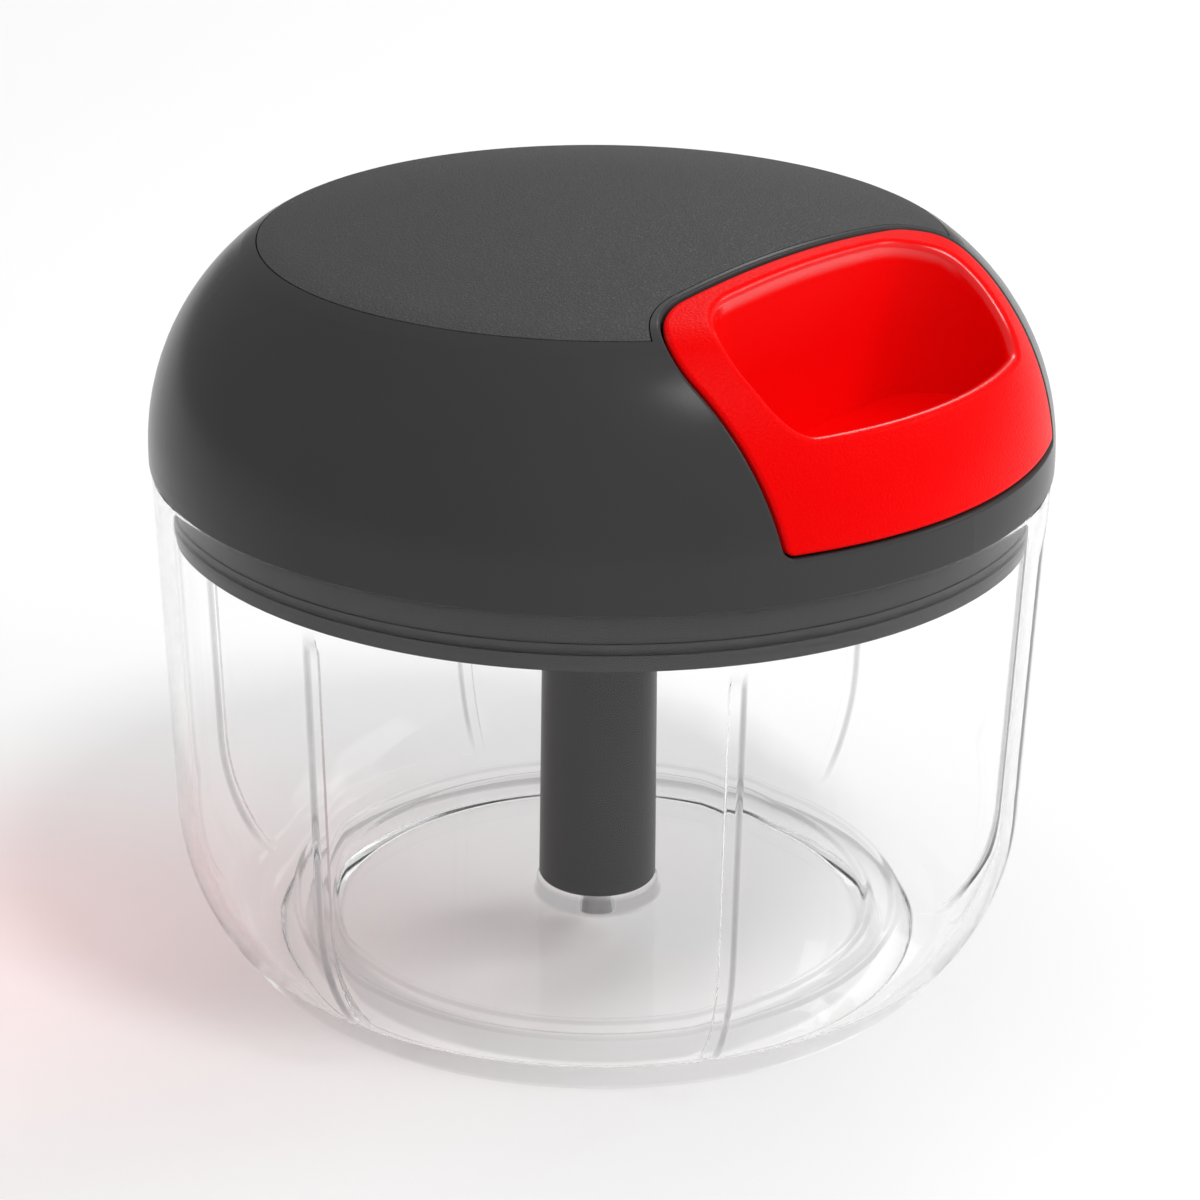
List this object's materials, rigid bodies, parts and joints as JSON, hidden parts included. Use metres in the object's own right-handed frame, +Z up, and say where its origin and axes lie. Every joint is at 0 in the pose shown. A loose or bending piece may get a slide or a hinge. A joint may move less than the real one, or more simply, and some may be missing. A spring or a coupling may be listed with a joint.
{
  "type": "food chopper",
  "caption": "Round pull-cord food chopper: clear ribbed bowl with a central drive column, under a dark domed lid whose red finger handle pulls out on a cord.",
  "frame": {"origin": "centre of the bowl's foot ring, on the surface that the chopper stands on", "axes": "+Z up along the drive column's axis, +X the way the handle is pulled out of the lid"},
  "size_m": [0.14, 0.14, 0.1253],
  "materials": {
    "clear_plastic": "clear polished",
    "dark_plastic": "satin dark grey",
    "soft_panel": "fine leather grain",
    "red_plastic": "satin red",
    "white_plastic": "natural acetal",
    "seal_rubber": "dark silicone",
    "steel": "bright steel",
    "cord_fabric": "braided cord"
  },
  "bodies": {
    "bowl": {"bowl": "clear_plastic", "pivot_pin": "steel"},
    "column": {"drive_column": "dark_plastic", "column_bush": "white_plastic"},
    "lid": {"lid_cover": "dark_plastic", "top_panel": "soft_panel", "lid_base": "dark_plastic", "lid_seal": "seal_rubber", "lid_screws": "steel", "drive_bush": "white_plastic", "shaft_seal": "seal_rubber", "return_spring": "steel", "spring_cover": "white_plastic", "thrust_washer": "white_plastic", "reel_bridge": "dark_plastic", "bridge_screws": "steel", "cord_eyelet": "steel"},
    "reel": {"reel": "white_plastic", "reel_clip": "steel", "drive_dog": "dark_plastic", "dog_screw": "steel", "wound_cord": "cord_fabric"},
    "handle": {"handle_shell": "red_plastic", "handle_back": "red_plastic", "handle_screws": "steel", "cord_anchor": "steel", "pull_cord": "cord_fabric"}
  },
  "joints": [
    {"name": "lid_lift", "type": "slide", "parent": "bowl", "child": "lid", "axis": [0, 0, 1], "range_m": [0, 0.15]},
    {"name": "handle_pull", "type": "slide", "parent": "lid", "child": "handle", "axis": [1, 0, 0], "range_m": [0, 0.42], "stiffness_N_per_m": 12, "springref_m": -0.25, "deforming": ["return_spring", "pull_cord"]},
    {"name": "reel_spin", "type": "hinge", "parent": "lid", "child": "reel", "pos_m": [0, 0, 0.097], "axis": [0, 0, 1], "range_deg": [0, 1260]},
    {"name": "column_spin", "type": "hinge", "parent": "bowl", "child": "column", "pos_m": [0, 0, 0.042], "axis": [0, 0, 1], "range_deg": [0, 1260]}
  ],
  "couplings": [
    {"joint": "reel_spin", "follows": "handle_pull", "rad_per_m": 52.356},
    {"joint": "column_spin", "follows": "handle_pull", "rad_per_m": 52.356}
  ]
}
